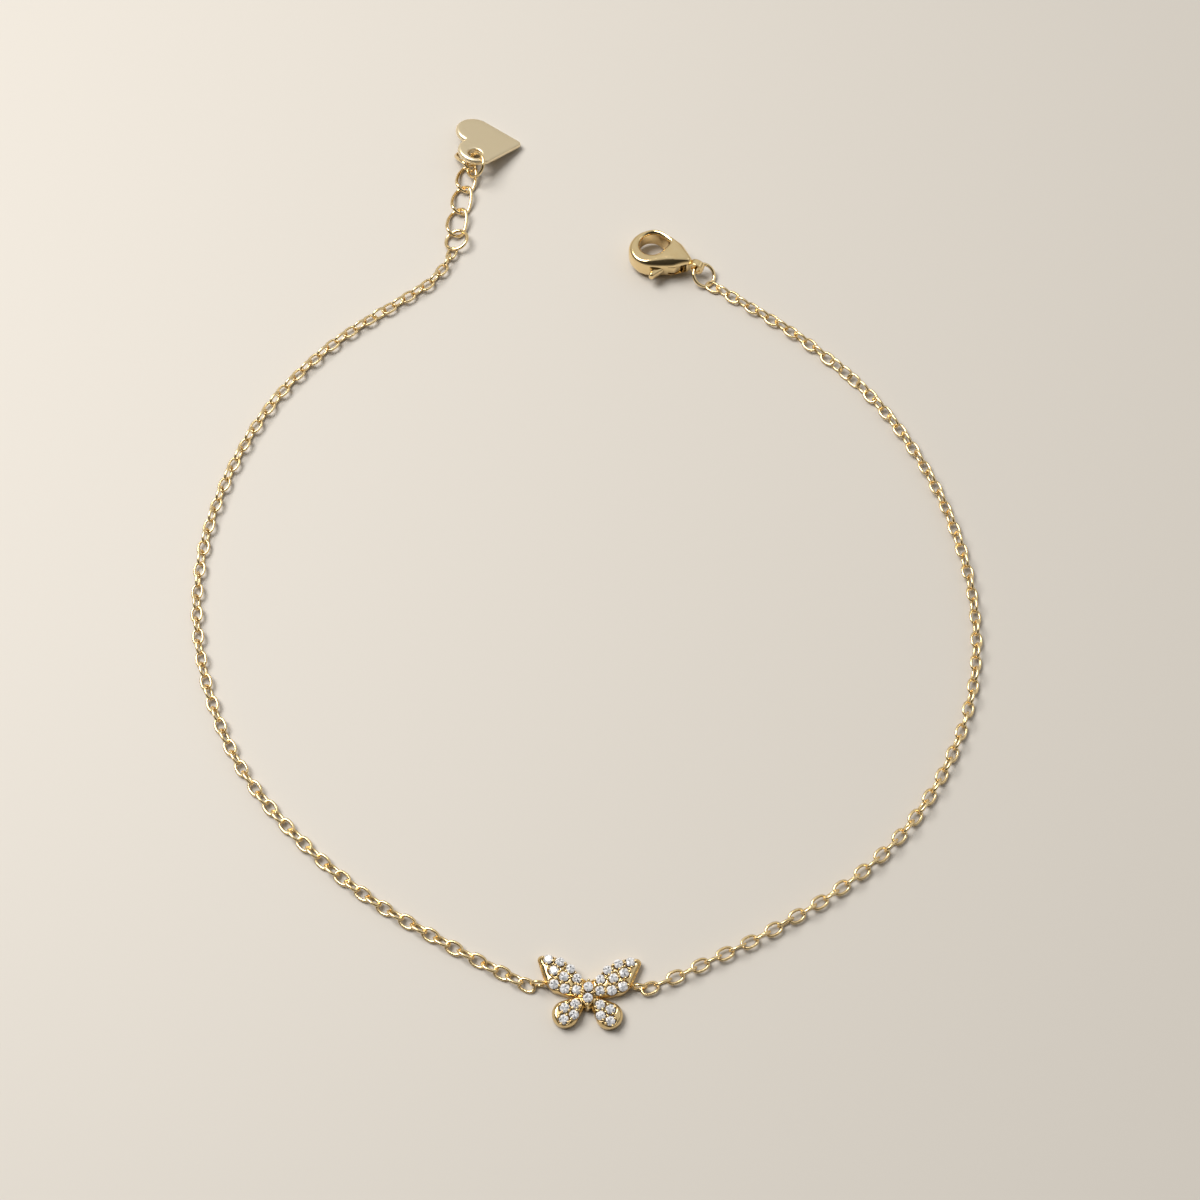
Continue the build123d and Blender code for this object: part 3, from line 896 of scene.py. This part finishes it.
beads = []
for stones, outline, core, first_angle in (
    (UPPER_STONES, wing_line, WING_CORE, 15), (LOWER_STONES, lobe_line, LOBE_CORE, 30),
):
    for x, y in bead_spots(stones, outline, core, first_angle):
        beads += [bead(side * x, y, WING_TOP + 0.04, BEAD_R) for side in (1, -1)]
beads += [bead(0.0, 1.06, BODY_TOP, 0.15), bead(0.0, -1.22, BODY_TOP - 0.02, 0.17)]
beads += [bead(side * 0.44, -0.07, BODY_TOP, 0.11) for side in (1, -1)]
placed = [(lay(points, BUTTERFLY_AT), faces) for points, faces in plates + loops + beads]
butterfly_mesh = new_mesh("butterfly_metal", placed, 50)
print("beads:", len(beads))

# %% Painted shade: darker gold down in the grooves
# radii past a stone's girdle, and height and fade in mm above the underside
DARK_REACH, DARK_FROM, DARK_FADE = 0.30, 0.70, 0.15
groove_of = [UPPER_STONES, UPPER_STONES, LOWER_STONES, LOWER_STONES, BODY_STONES]
painted_shade_share = []
for (points, _), stones in zip(plates, groove_of):
    flat_xy = np.abs(points[:, :2]) * [1, 0] + points[:, :2] * [0, 1]
    near = 1 - smooth_step((stone_gap(flat_xy, stones) - 1.0) / DARK_REACH)
    painted_shade_share.append(near * smooth_step((points[:, 2] - DARK_FROM) / DARK_FADE))
painted_shade_share = np.concatenate(painted_shade_share)
crevice = np.zeros(len(butterfly_mesh.vertices))
crevice[:len(painted_shade_share)] = painted_shade_share
# painted shade per point, read by the cast gold
butterfly_mesh.attributes.new("crevice", "FLOAT", "POINT").data.foreach_set("value", crevice)
new_piece("butterfly_metal", butterfly_mesh, "anklet", ["butterfly_charm"], cast_gold)

# %% [markdown]
# ## The lobster clasp
#
# The hook and cheeks are one thick pierced plate, thickest over the lever and thin at the neck. The
# same plate, cut by the mouth's outline, gives the lever's nose, so both meet in one smooth face.
# The Boolean modifier does the cutting, and the result is kept as a plain mesh.

# %% Clasp sizes
CLASP_PLACE = (7.2, 34.28, 1.45, -22, 0, 0)
PIVOT = np.array([3.15, 0.35])
NOSE_R, NOSE_GAP = 2.00, 0.006
THICKNESS = np.array([(-3.0, 0.95), (0.0, 1.00), (2.0, 1.71), (3.5, 1.66), (5.1, 0.80)])
# how wide the rounded rim is at a few places along the clasp
RIM_AT = [0.0, 1.2, 2.2, 2.8, 3.4, 4.2, 4.8]
RIM_WIDTH = [0.46, 0.80, 1.45, 1.30, 0.90, 0.48, 0.38]
# the rim's share of the room beside the opening, on the far side and on the near side
FAR_SHARE, NEAR_SHARE = 0.45, 0.75
RIM_SOFTENING = 14
RIM_DROP_SHARE = 0.62
HOLE_RIM = 0.44


def clasp_half(xy):
    """Half thickness along the clasp: the Bezier curve through its five handles, read at x."""
    t = np.linspace(0, 1, 60)[:, None]
    shares = [count * t ** k * (1 - t) ** (4 - k) for k, count in enumerate((1, 4, 6, 4, 1))]
    weights = np.concatenate(shares, 1)
    curve = weights @ THICKNESS
    return np.interp(xy[:, 0], curve[:, 0], curve[:, 1])


def clasp_shell():
    """Belt round hook, cheeks and neck, pierced by the belt round the opening."""
    outline = evenly(belt([(0, 0), (2.35, 0.15), (4.2, 0.15)], [2.5, 1.75, 0.6], 600), 320)
    hole = evenly(belt([(0, 0.5), (1.25, 1.05)], [1.45, 0.45], 400), 160)
    room = np.linalg.norm(outline[:, None] - hole[None], axis=2).min(1)
    wide = np.interp(outline[:, 0], RIM_AT, RIM_WIDTH)
    wide = np.minimum(wide, room * np.where(outline[:, 1] > 0.15, FAR_SHARE, NEAR_SHARE))
    steps = range(-RIM_SOFTENING, RIM_SOFTENING + 1)
    wide = sum(np.roll(wide, step) for step in steps) / len(steps)
    return pierced_plate(
        outline, hole, np.array([0.3, 0.5]), clasp_half, wide,
        clasp_half(outline) * RIM_DROP_SHARE, HOLE_RIM, across=16, bend=12,
    )


# %% The mouth, cut twice
def mouth_outline(gap):
    """Region between the hook's end and the round front of the cheeks, each set back by the gap."""
    angles = np.radians(np.linspace(270, 176, 40))
    front = PIVOT + (NOSE_R + gap) * np.stack([np.cos(angles), np.sin(angles)], 1)
    side = np.array([(0.96 + gap, 0.9), (0.80 + gap, -3.4), (PIVOT[0], -3.4)])
    return np.concatenate([side, front])


def in_place(shells):
    """Shells of the clasp's own frame laid at the clasp."""
    return [(lay(points, CLASP_PLACE), faces) for points, faces in shells]


# %% Clasp body
SLOT = [(0.98, 1.25), (0.82, -3.4), (4.45, -3.4), (4.45, -0.4), (4.05, 1.1), (3.2, 1.35)]
SLOT_HALF = 0.65
LUG_AT, LUG_R = 5.40, 0.685
LUG_BAND = [(-0.165, -0.40), (0.165, -0.40), (0.165, 0.40), (-0.165, 0.40)]
LUG_SOFT = 0.10


def lug_shell():
    """The eye: a broad band bent round, its section a rectangle with small rounded corners."""
    u = np.arange(72) / 72 * TAU
    side = rounded(LUG_BAND, LUG_SOFT, 48)
    reach = LUG_R + side[:, 0]
    x = LUG_AT + np.cos(u)[:, None] * reach[None]
    z = np.sin(u)[:, None] * reach[None]
    y = 0.15 + np.broadcast_to(side[:, 1], x.shape)
    return shell(np.stack([x, y, z], 2), grid_faces(72, 48)[:, ::-1])


CUT_HALF = 2.5
body_tools = [slab(mouth_outline(0.0), CUT_HALF), slab(evenly(np.array(SLOT), 120), SLOT_HALF)]
body_mesh = cut_mesh("clasp_shell", in_place([clasp_shell()]), in_place(body_tools), "DIFFERENCE")
new_piece("clasp_hook", body_mesh, "anklet", ["clasp_body"], polished_gold)
lug = new_mesh("clasp_eye", in_place([lug_shell()]), 50)
new_piece("clasp_eye", lug, "anklet", (), polished_gold)

# %% Clasp lever
LEVER_HALF = 0.55
LEVER_TAB = [(0.95, -2.0), (0.90, -3.15), (1.40, -3.2), (2.3, -1.75), (2.3, -1.3), (1.1, -1.3)]
LEVER_TAB_HALF = 0.46
LEVER_ARM = [
    (1.2, -1.0), (1.6, -1.9), (2.45, -1.6), (3.35, -1.3),
    (3.85, -0.55), (3.85, 0.7), (3.0, 1.05), (2.3, 0.7),
]
nose_tools = [slab(mouth_outline(NOSE_GAP), CUT_HALF)]
nose_mesh = cut_mesh("lever_nose_shell", in_place([clasp_shell()]), in_place(nose_tools), "INTERSECT")
new_piece("lever_nose", nose_mesh, "lever", ["clasp_lever"], polished_gold)
arm_shells = [
    slab(rounded(LEVER_ARM, 0.35, 160), LEVER_HALF, 0.15),
    slab(rounded(LEVER_TAB, 0.45, 160), LEVER_TAB_HALF, 0.28),
]
arm_mesh = new_mesh("lever_arm", in_place(arm_shells), 50)
new_piece("lever_arm", arm_mesh, "lever", (), polished_gold)

# %% [markdown]
# ## The pin
#
# The lever's pin is already the right shape in the frame, so it only takes the finish.

# %% Pin
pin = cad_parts["clasp_pin"]
pin.data.materials.clear()
pin.data.materials.append(polished_gold)
print("pin finished:", pin.data.materials[0].name)

# %% [markdown]
# ## Table, light and camera
#
# Gold has no colour of its own in the dark: it shows what is around it. One large soft light from
# the upper left, a weaker one from the right, and a pale room give it bright edges. The room is dim
# toward the front left, which gives the gold its olive shades. That dimness fades out near the
# horizon, so the table still ends in a pale room from most sides.

# %% Floor
FLOOR_SIZE = 3000.0
FLOOR_COLOUR = (0.60, 0.565, 0.515, 1.0)
floor_corners = FLOOR_SIZE * np.array([(-1, -1, 0), (1, -1, 0), (1, 1, 0), (-1, 1, 0)], float)
floor_mesh = new_mesh("table_top", [shell(floor_corners, np.array([[0, 1, 2, 3]]))])
floor_material, floor_shader, _ = finish_of("table_paint", 0.0, 0.6)
floor_shader.inputs["Base Color"].default_value = FLOOR_COLOUR
floor_mesh.materials.append(floor_material)
table_top = bpy.data.objects.new("table_top", floor_mesh)
bpy.context.scene.collection.objects.link(table_top)

# %% Lights
def soft_light(name, at_mm, size_mm, power, colour=(1.0, 1.0, 1.0)):
    """A square lamp that faces the anklet's middle."""
    lamp = bpy.data.lights.new(name, "AREA")
    lamp.size, lamp.energy, lamp.color = size_mm * MM, power, colour
    holder = bpy.data.objects.new(name, lamp)
    holder.location = Vector(at_mm) * MM
    holder.rotation_euler = (-holder.location).to_track_quat("-Z", "Y").to_euler()
    bpy.context.scene.collection.objects.link(holder)
    return holder


soft_light("window_light", (-220, 120, 400), 280, 2.5, (1.0, 0.98, 0.95))
soft_light("fill_light", (420, 60, 300), 260, 0.1, (0.97, 0.98, 1.0))

# %% The room around it
ROOM_STOPS = [
    (0.0, (0.50, 0.46, 0.39, 1.0)),
    (0.25, (0.60, 0.57, 0.51, 1.0)),
    (0.6, (0.80, 0.78, 0.74, 1.0)),
    (1.0, (0.98, 0.97, 0.95, 1.0)),
]
BLACK, WHITE = (0.0, 0.0, 0.0, 1.0), (1.0, 1.0, 1.0, 1.0)
DARK_STOPS = [(0.0, BLACK), (0.02, BLACK), (0.18, WHITE)]
HIGH_STOPS = [(0.0, BLACK), (0.12, BLACK), (0.36, WHITE)]
UNLIT = (0.05, 0.042, 0.03, 1.0)
DIM_FRONT, DIM_RIGHT = 0.87, 0.5
DIM_DEPTH = 0.94
ROOM_STRENGTH, FRONT_LOSS = 0.58, 0.22

world = bpy.data.worlds.new("pale_room")
bpy.context.scene.world = world
world.use_nodes = True
room = Flow(world.node_tree)
way = room.node("ShaderNodeTexCoord", output="Generated")
height = room.node("ShaderNodeSeparateXYZ", {}, {"Vector": way}, 2)
front = room.node("ShaderNodeSeparateXYZ", {}, {"Vector": way}, 1) * -1.0
beside = room.node("ShaderNodeSeparateXYZ", {}, {"Vector": way}, 0)
dim = front * DIM_FRONT - beside * DIM_RIGHT
high = room.node("ShaderNodeValToRGB", {"stops": HIGH_STOPS}, {"Fac": height})
shade = room.node("ShaderNodeValToRGB", {"stops": DARK_STOPS}, {"Fac": dim})
glow = room.node("ShaderNodeValToRGB", {"stops": ROOM_STOPS}, {"Fac": height})
colour = blend(room, shade * high * DIM_DEPTH, glow, UNLIT)
strength = ROOM_STRENGTH - front * FRONT_LOSS
background = world.node_tree.nodes["Background"]
feed(room, background, "Color", colour)
feed(room, background, "Strength", strength)

# %% Camera
CAMERA_AT = (1.5, -102.67, 182.9)
CAMERA_DOWN = 62.8
camera = bpy.data.cameras.new("camera")
camera.lens, camera.sensor_width, camera.clip_end = 60.0, 36.0, 10.0
camera.clip_start = 0.01
viewpoint = bpy.data.objects.new("camera", camera)
viewpoint.location = Vector(CAMERA_AT) * MM
viewpoint.rotation_euler = (np.radians(90 - CAMERA_DOWN), 0, 0)
bpy.context.scene.collection.objects.link(viewpoint)
bpy.context.scene.camera = viewpoint
bpy.context.scene.view_settings.view_transform = "Standard"

# %% The end
bpy.context.view_layer.update()
